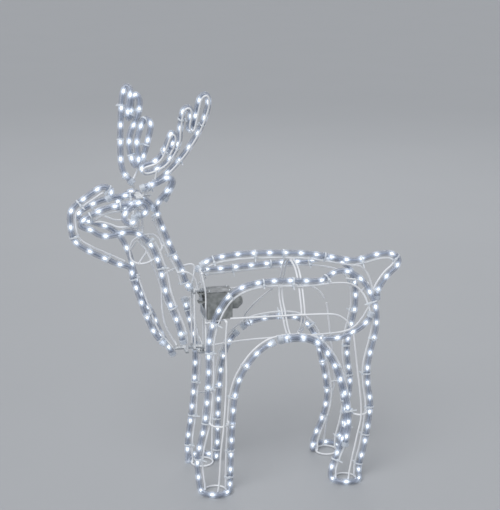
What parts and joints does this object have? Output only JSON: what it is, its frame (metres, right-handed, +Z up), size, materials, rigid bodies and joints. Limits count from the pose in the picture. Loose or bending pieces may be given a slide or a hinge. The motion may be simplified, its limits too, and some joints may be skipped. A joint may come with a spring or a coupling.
{
  "type": "light up yard reindeer",
  "caption": "Standing outdoor reindeer figure: white wire frame carrying clear rope light, with a gear motor that swings the neck and head.",
  "frame": {"origin": "middle of the overall outline at ground level", "axes": "+X from nose to tail (the animal faces -X), +Y towards its right flank, +Z up"},
  "size_m": [0.578, 0.1822, 0.6989],
  "materials": {
    "coated_wire": "white powder-coated steel wire, semi-gloss",
    "rope_light": "clear flexible PVC rope with cool white lamps inside",
    "cap_plastic": "clear-white end caps and sleeve",
    "case_plastic": "mottled warm grey moulded case, fine texture",
    "lid_plastic": "warm grey moulded lid, smooth",
    "plated_steel": "zinc-plated steel",
    "link_plastic": "natural acetal",
    "motor_metal": "warm grey painted motor can",
    "black_plastic": "black nylon gland"
  },
  "bodies": {
    "body": {"rope_side_near": "rope_light", "rope_side_far": "rope_light", "rope_fore_far": "rope_light", "rope_spine": "rope_light", "rope_haunch": "rope_light", "rope_thigh_near": "rope_light", "arch_wire_near": "coated_wire", "side_wire_near": "coated_wire", "waist_wire_near": "coated_wire", "leg_cage_front_near": "coated_wire", "leg_cage_rear_near": "coated_wire", "arch_wire_far": "coated_wire", "side_wire_far": "coated_wire", "fore_wire_far": "coated_wire", "waist_wire_far": "coated_wire", "leg_cage_front_far": "coated_wire", "leg_cage_rear_far": "coated_wire", "spine_wire": "coated_wire", "belly_wire": "coated_wire", "rib_hoop": "coated_wire", "rump_hoop": "coated_wire", "chest_posts": "coated_wire", "chest_stay_near": "coated_wire", "chest_stay_far": "coated_wire", "motor_brace": "coated_wire", "motor_case": "case_plastic", "motor_lid": "lid_plastic", "gear_motor": "motor_metal", "post_clip": "plated_steel", "cable_gland": "black_plastic", "hinge_plate": "plated_steel"},
    "neck_head": {"neck_shaft": "plated_steel", "neck_bracket_top": "plated_steel", "neck_bracket_bottom": "plated_steel", "neck_post_near": "coated_wire", "neck_hoop_far": "coated_wire", "neck_brace": "coated_wire", "nape_wire": "coated_wire", "throat_wire": "coated_wire", "neck_wire_near": "coated_wire", "neck_wire_far": "coated_wire", "neck_ring": "coated_wire", "head_profile_wire": "coated_wire", "head_side_wire_near": "coated_wire", "head_side_wire_far": "coated_wire", "crown_bar": "plated_steel", "rope_ear_nape": "rope_light", "rope_ear_far": "rope_light", "rope_face_near": "rope_light", "rope_profile": "rope_light", "rope_face_far": "rope_light", "rope_eye_near": "rope_light", "rope_eye_far": "rope_light", "rope_antler_far": "rope_light", "rope_antler_near": "rope_light", "antler_frame_far": "coated_wire", "antler_frame_near": "coated_wire", "rope_cap_nape": "cap_plastic"},
    "crank": {"crank": "plated_steel"},
    "link": {"link_rod": "link_plastic"}
  },
  "joints": [
    {"name": "neck_swing", "type": "hinge", "parent": "body", "child": "neck_head", "pos_m": [-0.06707, -0.00002, 0.336], "axis": [0, 0, 1], "range_deg": [-18, 18]},
    {"name": "crank_turn", "type": "hinge", "parent": "body", "child": "crank", "pos_m": [-0.04307, -0.00002, 0.336], "axis": [0, 0, 1], "range_deg": [-18, 18]},
    {"name": "link_turn", "type": "hinge", "parent": "crank", "child": "link", "pos_m": [-0.04307, 0.00698, 0.34], "axis": [0, 0, 1], "range_deg": [-18, 18]}
  ],
  "couplings": [
    {"joint": "crank_turn", "follows": "neck_swing", "ratio": 1},
    {"joint": "link_turn", "follows": "neck_swing", "ratio": -1}
  ]
}
